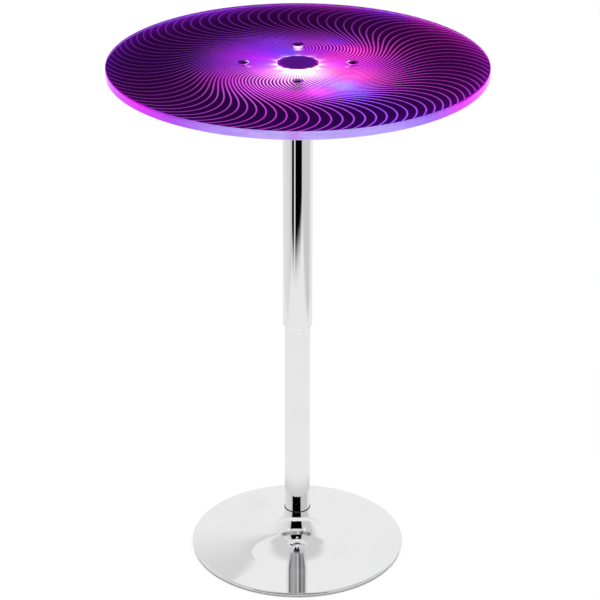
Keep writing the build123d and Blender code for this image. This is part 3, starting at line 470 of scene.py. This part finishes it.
# Ring where the lines stand out from a darker glow, in millimetres, and the azimuth and width
# of its two sides in degrees
stripe_ring = (80.0, 118.0)
stripe_sides = ((46.0, 30.0), (-112.0, 38.0))
stripe_softness = 8.0
stripe_dims = (0.5, 0.6)
stripe_colour = (0.7, 0.06, 0.55)

# Colours of the light painted on the slab's edge, as azimuth and colour
edge_glow_colours = (
    (-180.0, (0.30, 0.01, 0.60)),
    (-160.0, (0.60, 0.00, 0.85)),
    (-142.0, (0.82, 0.00, 0.95)),
    (-127.0, (0.48, 0.06, 0.95)),
    (-113.0, (0.48, 0.30, 0.98)),
    (-94.0, (0.56, 0.46, 1.00)),
    (-91.0, (0.54, 0.27, 0.88)),
    (-88.0, (0.56, 0.46, 1.00)),
    (-65.0, (0.50, 0.38, 1.00)),
    (-50.0, (0.38, 0.18, 1.00)),
    (-35.0, (0.85, 0.01, 0.98)),
    (-15.0, (0.75, 0.00, 0.90)),
    (30.0, (0.35, 0.02, 0.35)),
    (90.0, (0.12, 0.02, 0.18)),
    (130.0, (0.14, 0.02, 0.40)),
)

# Patches of coloured light under the film: azimuth, distance, width in millimetres and colour
light_patches = (
    (-54.0, 119.0, 17.5, (-0.12, 0.26, 0.50)),
    (-54.0, 158.0, 22.0, (-0.02, 0.04, 0.40)),
    (-28.0, 103.0, 26.0, (0.34, 0.03, 0.16)),
    (-76.0, 128.0, 20.0, (0.60, 0.03, 0.42)),
    (61.0, 127.0, 16.0, (0.00, 0.00, 0.30)),
    (38.0, 116.0, 18.0, (0.30, 0.00, 0.05)),
    (108.0, 120.0, 18.0, (0.05, 0.00, 0.20)),
)
shadow_patch = (-91.0, 106.0, 14.0)
shadow_depth = 0.6

# White light near the hole: on the lines, between them, and in the star. Rings in millimetres,
# sides as azimuth and width in degrees
pale_ring = (132.0, 66.0)
pale_side = (-95.0, 36.0)
pale_colour = (0.4, 1.0, 0.5)
heat_ring = (84.0, 40.0)
heat_side = (-80.0, 36.0)
heat_level = 0.75
heat_colour = (0.1, 1.0, 0.1)
burst_radius = 33.0
burst_width = 5.0
burst_floor = 0.25
burst_side = (90.0, 40.0)
burst_side_level = 0.85
burst_level = 2.55
burst_colour = (1.0, 0.8, 1.0)

# Points of light before the twelve diodes
star_points = 12
star_sharpness = 3.0

# Glints beside the screw holes: azimuth, distance and width in millimetres, and strength
hole_glints = ((-7.0, 77.0, 3.0, 0.6), (-173.0, 77.0, 3.0, 0.6), (90.0, 72.0, 5.0, 1.4))

# Dark print on the film's upper side and pale backing on its lower side, each as two tones
ink_tones = ((0.012, 0.004, 0.02), (0.02, 0.008, 0.03))
backing_tones = ((0.72, 0.72, 0.73), grey(0.80))

# Lit skins of the slab, as distances in metres from the rim, the hole and the counterbores
rim_skin = (0.0017, 0.0012)
rim_inner_skin = (0.0032, 0.0022)
well_skin = (0.0012, 0.0006)
bore_skin = (0.0009, 0.0003)
crescent_skin = (0.0016, 0.0008)
lit_white = (1.0, 0.7, 1.0)

# Slab: level of the light painted on its rim with the least level and swing of the streaks in it,
# level of the hole's light between diodes, painted light and painted shade in the counterbores,
# painted shade near the rim, and roughness
rim_level = 0.9
rim_streaks = (0.8, 0.32)
rim_streak_stretch = (1.0, 1.0, 8.0)
well_floor = 0.3
bore_glow = (0.03, 0.002, 0.06)
bore_shade = (0.03, 0.01, 0.05)
rim_shadow = (0.16, 0.12, 0.2)
slab_roughness = 0.004
smear_roughness = 0.02
acrylic_index = 1.49

# Lit crescents on the counterbores' walls, in metres: where they fade in, inward of the screws,
# and how far they lie from the middle
side_crescent = (-0.001, -0.006)
back_crescent = (-0.002, -0.006)
crescent_place = (0.06, 0.07)

# Tinted cap: where its glow starts as a share of its radius, the glow's level between diodes
# and in all, the light of its middle and its own tone
cap_glow_start = 0.7
cap_glow_floor = 0.35
cap_glow_level = 0.9
cap_middle = ((0.045, 0.0, 0.11), (0.04, 0.0, 0.21))
cap_tones = ((0.02, 0.004, 0.05), (0.04, 0.008, 0.07))


def colour_ring(paint, colours, angle):
    """Colours round the axis, each given with its azimuth."""
    stops = [(azimuth / 360.0 + 0.5, colour) for azimuth, colour in colours]
    stops.append((1.0, colours[0][1]))
    return paint.ramp(angle / radians(360.0) + 0.5, stops)


def star(angle):
    """Soft points of light round the hole, one before each diode."""
    return abs((angle * (star_points / 2.0)).math("COSINE")) ** star_sharpness


def pattern_material():
    """Printed film: glows near the hole, carries lit wave lines and is pale underneath."""
    finish = Finish("lit_pattern", Roughness=0.4, Emission_Strength=1.0, Specular_IOR_Level=0.0)
    radius, angle, _ = finish.turned()
    radius = radius * millimetres
    lines = wave_lines(finish, radius, angle)
    striped = finish.band(radius, *stripe_ring, stripe_softness)
    pink_side, white_side = (striped * finish.bell(angle, *side) for side in stripe_sides)
    pink_dim, white_dim = stripe_dims
    line_share = lines * finish.profile(radius, line_reach) * line_gain
    line_light = finish.dim(colour_ring(finish, line_hues, angle), line_share)
    glow_share = finish.profile(radius, glow_reach) * glow_gain
    glow_share = glow_share * (1.0 - pink_dim * pink_side - white_dim * white_side)
    glow_light = finish.dim(colour_ring(finish, glow_hues, angle), glow_share)
    stripe_light = finish.dim(stripe_colour, lines * pink_side)
    patches = [
        finish.dim(colour, finish.spot(radius, angle, azimuth, distance, width))
        for azimuth, distance, width, colour in light_patches
    ]
    shade = 1.0 - shadow_depth * finish.spot(radius, angle, *shadow_patch)
    light = finish.dim(finish.gather(line_light, glow_light, stripe_light, *patches), shade)
    edge = ((radius - haze_radius) / haze_width).math("EXPONENT")
    haze = finish.dim(colour_ring(finish, rim_hues, angle), edge)
    # Broad faint fields of painted light between the lines
    fields = [finish.dim(glow_colour, finish.bell(angle, *side)) for glow_colour, *side in field_glows]
    pale = lines * finish.step(radius, *pale_ring) * finish.bell(angle, *pale_side)
    heat = finish.step(radius, *heat_ring) * finish.bell(angle, *heat_side) * heat_level
    between = burst_floor + burst_side_level * finish.bell(angle, *burst_side)
    fading = ((radius - burst_radius) * (-1.0 / burst_width)).math("EXPONENT")
    burst = (between + burst_level * star(angle)) * fading
    for azimuth, distance, width, strength in hole_glints:
        burst = burst + finish.spot(radius, angle, azimuth, distance, width) * strength
    white = finish.gather(
        finish.dim(pale_colour, pale),
        finish.dim(heat_colour, heat),
        finish.dim(burst_colour, burst),
    )
    light = finish.gather(field_light, *fields, light, haze, white)
    top = finish.upward()
    finish.set("Emission Color", finish.dim(light, top))
    grain = finish.noise(300.0, 2.0)
    ink = finish.blend(grain, *ink_tones)
    backing = finish.blend(grain, *backing_tones)
    finish.set("Base Color", finish.blend(top, backing, ink))
    return finish


def skin(paint, distance, surface, depths, side):
    """1 within a thin skin at a surface; side is 1 outside it and -1 inside it."""
    return paint.step(distance, *(surface + side * depth for depth in depths))


def bore_masks(finish):
    """The four counterbores, and the lit crescents on their walls."""
    x, y, z = finish.place()
    outward = abs(x).math("MAXIMUM", abs(y)) - screw_circle
    aside = abs(x).math("MINIMUM", abs(y))
    distance = (outward * outward + aside * aside).math("SQRT")
    bore = skin(finish, distance, bore_radius, bore_skin, 1)
    sides = finish.step(outward, *side_crescent) * finish.step(abs(x), *crescent_place)
    sides = sides * skin(finish, z, top_high.z, crescent_skin, -1)
    back = finish.step(outward, *back_crescent) * finish.step(y, *crescent_place)
    return bore, sides + back


def acrylic_material():
    """Clear slab: outer edge, hole and counterbores glow; painted shade darkens counterbores and
    rim.
    """
    constants = {"Transmission_Weight": 1.0, "IOR": acrylic_index, "Emission_Strength": 1.0}
    finish = Finish("clear_acrylic", **constants)
    radius, angle, _ = finish.turned()
    rim = skin(finish, radius, top_radius, rim_skin, -1)
    well = skin(finish, radius, well_radius, well_skin, 1)
    least, swing = rim_streaks
    streak = least + swing * finish.noise(30.0, 2.0, 0.5, rim_streak_stretch)
    # Painted light on the slab's edge, in streaks
    rim_light = finish.dim(colour_ring(finish, edge_glow_colours, angle), rim * streak * rim_level)
    bore, crescent = bore_masks(finish)
    # Painted light in the counterbores: a dim violet glow with lit crescents
    bore_light = finish.dim(finish.blend(crescent, bore_glow, lit_white), bore)
    well_share = well_floor + (1.0 - well_floor) * star(angle)
    well_light = finish.dim(lit_white, well * well_share)
    finish.set("Emission Color", finish.gather(rim_light, well_light, bore_light))
    # Painted shade: the slab's colour is darkened near the rim and in the counterbores
    near_rim = skin(finish, radius, top_radius, rim_inner_skin, -1)
    clear = finish.blend(near_rim, grey(1.0), rim_shadow)
    finish.set("Base Color", finish.blend(bore, clear, bore_shade))
    smear = finish.step(finish.noise(14.0, 4.0, 0.6), 0.5, 0.8)
    finish.set("Roughness", slab_roughness + smear_roughness * smear)
    return finish


def cap_material():
    """Tinted disc over the light drum, brightest near its edge."""
    constants = {"Roughness": 0.05, "Emission_Strength": 1.0, "IOR": acrylic_index}
    finish = Finish("tinted_cap", **constants, Specular_IOR_Level=0.2)
    radius, angle, _ = finish.turned()
    hue = colour_ring(finish, glow_hues, angle)
    rim = finish.step(radius, well_radius * cap_glow_start, well_radius) ** 2.0
    rim = rim * (cap_glow_floor + (1.0 - cap_glow_floor) * star(angle))
    mottle = finish.step(finish.noise(70.0, 2.0), 0.4, 0.65)
    middle = finish.blend(mottle, *cap_middle)
    finish.set("Emission Color", finish.gather(middle, finish.dim(hue, rim * cap_glow_level)))
    speck = finish.noise(1200.0, 1.0)
    finish.set("Base Color", finish.blend(speck, *cap_tones))
    return finish


# Fine-grained finishes: size of the patches in grains, the grain's part in the tone, where the
# lighter tone starts and ends, and how much the roughness varies
patch_ratio = 25.0
grain_share = 0.6
light_range = (0.35, 0.65)
roughness_swing = 0.16


def dull(name, dark, light, scale, roughness, relief, **constants):
    """A fine-grained finish between two tones; scale is the grain's, per metre."""
    finish = Finish(name, **constants)
    grain = finish.noise(scale, 4.0, 0.55)
    patch = finish.noise(scale / patch_ratio, 3.0, 0.5)
    cloud = finish.step(grain * grain_share + patch * (1.0 - grain_share), *light_range)
    finish.set("Base Color", finish.blend(cloud, dark, light))
    finish.set("Roughness", roughness + roughness_swing * (grain - 0.5))
    finish.relief(grain, relief)
    return finish


def emitter_material():
    """Lit diode package."""
    finish = Finish("lit_diode", Roughness=0.3, Emission_Strength=4.0)
    grain = finish.noise(900.0, 1.0)
    finish.set("Base Color", finish.blend(grain, (0.85, 0.8, 0.6), (0.9, 0.9, 0.85)))
    finish.set("Emission Color", finish.blend(grain, (1.0, 0.75, 1.0), (1.0, 0.9, 1.0)))
    return finish


def dress_lit_parts():
    """Finishes of the pieces that glow."""
    pattern_material().coat("pattern_film")
    acrylic_material().coat("table_top")
    cap_material().coat("led_cap")
    emitter_material().coat("led_emitters")


def dress_metal_parts():
    """Finishes of plate, steel, alloy, iron and brass."""
    chrome("chrome_foot", ring_polish).coat("base_shell")
    chrome("chrome_tube", tube_polish).coat("sleeve", "lower_column")
    tones = (0.55, 0.56, 0.58), (0.72, 0.73, 0.75)
    alloy = dull("turned_alloy", *tones, 700.0, 0.35, 0.00001, Metallic=1.0)
    alloy.coat("led_core")
    iron = dull("painted_iron", (0.025, 0.025, 0.028), (0.05, 0.05, 0.055), 350.0, 0.55, 0.00012)
    iron.coat("base_weight")
    powder = dull("powder_coat", (0.014, 0.014, 0.015), (0.03, 0.03, 0.032), 1400.0, 0.45, 0.00003)
    powder.coat("pressure_tube", "lift_hub", "mechanism_channel", "mount_plate", "lift_lever")
    tones = (0.45, 0.45, 0.42), (0.62, 0.62, 0.58)
    zinc = dull("zinc_plate", *tones, 260.0, 0.36, 0.00001, Metallic=1.0)
    zinc.coat("shell_studs", "stud_nuts", "column_foot", "column_washer", "column_nut")
    zinc.coat("rod_washer", "weld_nuts", "core_screws", "cover_screws")
    zinc.coat("cell_contacts", "lever_pin")
    tones = (0.008, 0.008, 0.009), (0.02, 0.02, 0.022)
    black = dull("black_oxide", *tones, 500.0, 0.42, 0.00001, Metallic=0.6)
    black.coat("table_screws", "screw_washers")
    steel = dull("ground_steel", grey(0.5), grey(0.66), 1100.0, 0.22, 0.000004, Metallic=1.0)
    steel.coat("thrust_race_lower", "thrust_balls", "thrust_race_upper", "piston_rod")
    steel.coat("rod_clip", "pin_clips", "valve_pin")
    tones = (0.5, 0.36, 0.13), (0.66, 0.5, 0.22)
    brass = dull("turned_brass", *tones, 900.0, 0.3, 0.000006, Metallic=1.0)
    brass.coat("piston", "valve_body")


def dress_plastic_parts():
    """Finishes of rubber, plastic, foam, the board and the cells."""
    rubber = dull("black_rubber", grey(0.012), grey(0.03), 900.0, 0.75, 0.00003)
    rubber.coat("down_stop", "piston_seal", "gland_seal", "top_pads", "lead_grommets", "led_lead")
    pale_rubber = dull("grey_rubber", grey(0.34), grey(0.42), 900.0, 0.7, 0.00003)
    pale_rubber.coat("floor_ring")
    nylon = dull("black_nylon", (0.012, 0.012, 0.013), (0.025, 0.025, 0.026), 800.0, 0.5, 0.00002)
    nylon.coat("neck_ring", "column_bush")
    natural = dull("natural_nylon", (0.72, 0.7, 0.66), (0.82, 0.81, 0.77), 500.0, 0.42, 0.00001)
    natural.coat("thrust_cage", "rod_gland", "core_terminal", "sleeve_guide")
    tones = (0.016, 0.016, 0.018), (0.032, 0.032, 0.035)
    moulded = dull("moulded_black", *tones, 1600.0, 0.5, 0.00004)
    moulded.coat("control_box", "control_cover", "mode_switch", "dc_jack", "lever_grip")
    board = dull("green_board", (0.01, 0.1, 0.03), (0.02, 0.2, 0.07), 240.0, 0.35, 0.00002)
    board.coat("control_board", "led_strip")
    cell = dull("cell_sleeve", (0.03, 0.12, 0.35), (0.05, 0.18, 0.45), 90.0, 0.25, 0.000005)
    cell.coat("battery_cells")
    button = dull("grey_button", (0.42, 0.42, 0.45), (0.5, 0.5, 0.53), 900.0, 0.35, 0.00001)
    button.coat("mode_button")
    foam = dull("foam_tape", grey(0.03), grey(0.08), 1500.0, 0.85, 0.00008)
    foam.coat("box_tape")


def front_azimuth(x, y):
    """Degrees to the right of the direction towards the camera."""
    return x.math("ARCTAN2", -y) / radians(1.0)


def gap_mask(paint, azimuth):
    """The dark gap between the studio's front screens, and a narrow one beside it."""
    gap = paint.band(azimuth, *gap_edges, gap_softness)
    return gap + paint.band(azimuth, *line_edges, gap_softness)


def wide_gap(paint, azimuth):
    """Both gaps and what lies between them, as the world shows them."""
    return paint.band(azimuth, line_edges[0], gap_edges[1], gap_softness)


def screen_tone(paint, azimuth):
    """Brightness of the screens that polished metal sees, by azimuth."""
    stops = [((place + 180.0) / 360.0, grey(tone)) for place, tone in far_tones]
    stops.append((1.0, grey(far_tones[0][1])))
    return paint.ramp(azimuth / 360.0 + 0.5, stops)


def add_object(name, data):
    """Put a new object in the scene."""
    added = bpy.data.objects.new(name, data)
    bpy.context.scene.collection.objects.link(added)
    return added


def add_shape(name, shape, finish):
    """Put a bmesh in the scene as an object with one material."""
    mesh = bpy.data.meshes.new(name)
    shape.to_mesh(mesh)
    shape.free()
    mesh.materials.append(finish.owner)
    return add_object(name, mesh)


def floor_material():
    """Pale floor with the studio's reflection, which only metal and acrylic see."""
    paint = Finish("pale_floor", Roughness=0.9)
    paint.set("Base Color", grey(floor_tone))
    x, y, _ = paint.place()
    distance = (x * x + y * y).math("SQRT")
    camera_ray, glossy_ray, clear_ray = paint.rays()
    azimuth = front_azimuth(x, y)
    depth = (-x).math("MAXIMUM", 0.0) * left_bulge - y
    front = paint.step(depth, front_floor_start, front_floor_end)
    side = paint.step(abs(x), side_floor_start, side_floor_end)
    far = front.math("MAXIMUM", side)
    tone = paint.dim(screen_tone(paint, azimuth), 1.0 - gap_mask(paint, azimuth) * front)
    # Painted shade: as metal sees it, the floor darkens next to the foot's rim
    leaving = paint.step(distance, foot_clear_radius, rim_shade_end)
    beside_foot = near_level * (rim_shade + (1.0 - rim_shade) * leaving)
    tone = paint.blend(far, paint.dim(grey(1.0), beside_foot), tone)
    seen = paint.blend(glossy_ray, grey(1.0), tone)
    emission = paint.node("ShaderNodeEmission", {}, {"Color": seen, "Strength": 1.0})
    clear = paint.step(distance, floor_shadow_start, floor_clear_radius)
    whitened = camera_ray * (floor_white + (1.0 - floor_white) * clear)
    factor = whitened + glossy_ray + clear_ray
    lit = Wire(paint, paint.shader.outputs[0])
    mixed = paint.node("ShaderNodeMixShader", {}, {0: factor, 1: lit, 2: emission})
    paint.feed(paint.tree.nodes["Material Output"].inputs["Surface"], mixed)
    return paint


def make_floor():
    """Floor that keeps the table's shadow and turns white away from it."""
    shape = bmesh.new()
    bmesh.ops.create_grid(shape, x_segments=1, y_segments=1, size=floor_size / 2.0)
    floor = add_shape("floor", shape, floor_material())


def make_hood():
    """A black cone over the slab that only reflections show, so that the lit top stays dark."""
    velvet = Finish("black_velvet", Roughness=1.0, Base_Color=grey(0.0), Specular_IOR_Level=0.0)
    shape = bmesh.new()
    bmesh.ops.create_cone(
        shape, segments=hood_segments, radius1=hood_radius, radius2=0.0, depth=hood_height
    )
    middle = Vector((0.0, 0.0, top_high.z - hood_drop + hood_height / 2.0))
    bmesh.ops.translate(shape, vec=middle, verts=shape.verts)
    hood = add_shape("hood", shape, velvet)
    hood.parent = nodes["table_top"]
    for kind in ("camera", "diffuse", "transmission", "volume_scatter", "shadow"):
        setattr(hood, "visible_" + kind, False)


def screen_gaps(paint, tone, azimuth, height):
    """Dark gaps in the screens, and the streaks that the column shows above them."""
    gap_foot = (low_gap_top + low_gap_softness, low_gap_top - low_gap_softness)
    low = wide_gap(paint, azimuth) * paint.step(height, *gap_foot)
    high = wide_gap(paint, azimuth) * paint.band(height, *high_gap, high_gap_softness)
    tone = paint.dim(tone, 1.0 - low.math("MAXIMUM", high))
    beside, above = column_softness
    before_column = paint.band(azimuth, *column_gap, beside)
    before_column = before_column * paint.band(height, column_start, high_gap[0], above)
    streaks = grey(column_level)
    for middle, width, level in column_streaks:
        streak = paint.band(azimuth, middle - width, middle + width, streak_softness)
        streaks = paint.blend(streak, streaks, grey(level))
    return paint.blend(before_column, tone, streaks)


def far_shades(paint, tone, azimuth, height):
    """The screen overhead and two faint shades low on the far side."""
    overhead = paint.step(height, overhead_start, overhead_end)
    overhead = overhead * paint.step(abs(azimuth), *overhead_azimuth)
    tone = paint.blend(overhead, tone, grey(overhead_level))
    sweep = paint.step(height, sweep_start, sweep_edge)
    sweep = sweep * paint.step(height, sweep_edge + sweep_softness, sweep_edge)
    sweep = sweep * paint.band(azimuth, *sweep_azimuth, sweep_softness)
    tone = paint.dim(tone, 1.0 - (1.0 - sweep_level) * sweep)
    beside, above = smudge_softness
    smudge = paint.band(azimuth, *smudge_azimuth, beside)
    smudge = smudge * paint.band(height, *smudge_height, above)
    return paint.dim(tone, 1.0 - (1.0 - smudge_level) * smudge)


def neck_lights(paint, tone, azimuth, z):
    """Round lamps that the foot's neck shows."""
    lift = z.math("ARCSINE")
    for place, lamp_height, lamp_radius, level in neck_lamps:
        aside = (azimuth - place) * lift.math("COSINE")
        rise = lift / radians(1.0) - lamp_height
        distance = (aside * aside + rise * rise).math("SQRT")
        lamp = paint.step(distance, lamp_radius, lamp_radius * neck_lamp_core)
        tone = paint.blend(lamp, tone, grey(level))
    return tone


def make_world():
    """White surroundings; polished metal and acrylic see screens with gaps between them."""
    world = bpy.data.worlds.new("studio")
    bpy.context.scene.world = world
    paint = Paint(world)
    paint.tree.nodes.clear()
    x, y, z = paint.axes(paint.node("ShaderNodeTexCoord", {}, {}, "Generated"))
    height = z.math("ARCSINE") / radians(1.0)
    azimuth = front_azimuth(x, y)
    tone = screen_gaps(paint, screen_tone(paint, azimuth), azimuth, height)
    tone = far_shades(paint, tone, azimuth, height)
    tone = neck_lights(paint, tone, azimuth, z)
    mirror, plain, white = (
        paint.node("ShaderNodeBackground", {}, {"Color": colour, "Strength": level})
        for colour, level in ((tone, 1.0), (grey(1.0), sky_level), (grey(1.0), 1.0))
    )
    camera_ray, glossy_ray, clear_ray = paint.rays()
    shown = (glossy_ray + clear_ray).math("MINIMUM", 1.0)
    first = paint.node("ShaderNodeMixShader", {}, {0: shown, 1: plain, 2: mirror})
    second = paint.node("ShaderNodeMixShader", {}, {0: camera_ray, 1: first, 2: white})
    output = paint.tree.nodes.new("ShaderNodeOutputWorld")
    paint.feed(output.inputs["Surface"], second)


def make_lamp(name, place, size, power):
    """A square soft lamp that metal and acrylic don't show."""
    lamp = bpy.data.lights.new(name, "AREA")
    lamp.size = size
    lamp.energy = power
    holder = add_object(name, lamp)
    holder.location = place
    holder.rotation_mode = "QUATERNION"
    aim = Vector(lamp_target) - Vector(place)
    holder.rotation_quaternion = aim.to_track_quat("-Z", "Y")
    holder.visible_glossy = False
    holder.visible_transmission = False


def make_camera():
    """Camera with the photograph's view of the table."""
    lens = bpy.data.cameras.new("camera")
    lens.lens = camera_lens
    lens.sensor_width = camera_sensor
    holder = add_object("camera", lens)
    tilt = Matrix.Rotation(radians(camera_tilt), 4, "X")
    roll = Matrix.Rotation(radians(camera_roll), 4, "Z")
    holder.matrix_world = Matrix.Translation(camera_place) @ tilt @ roll
    bpy.context.scene.camera = holder


make_camera()
make_floor()
make_hood()
make_world()
for lamp in lamps:
    make_lamp(*lamp)
dress_lit_parts()
dress_metal_parts()
dress_plastic_parts()

bpy.context.scene.view_settings.view_transform = "Standard"
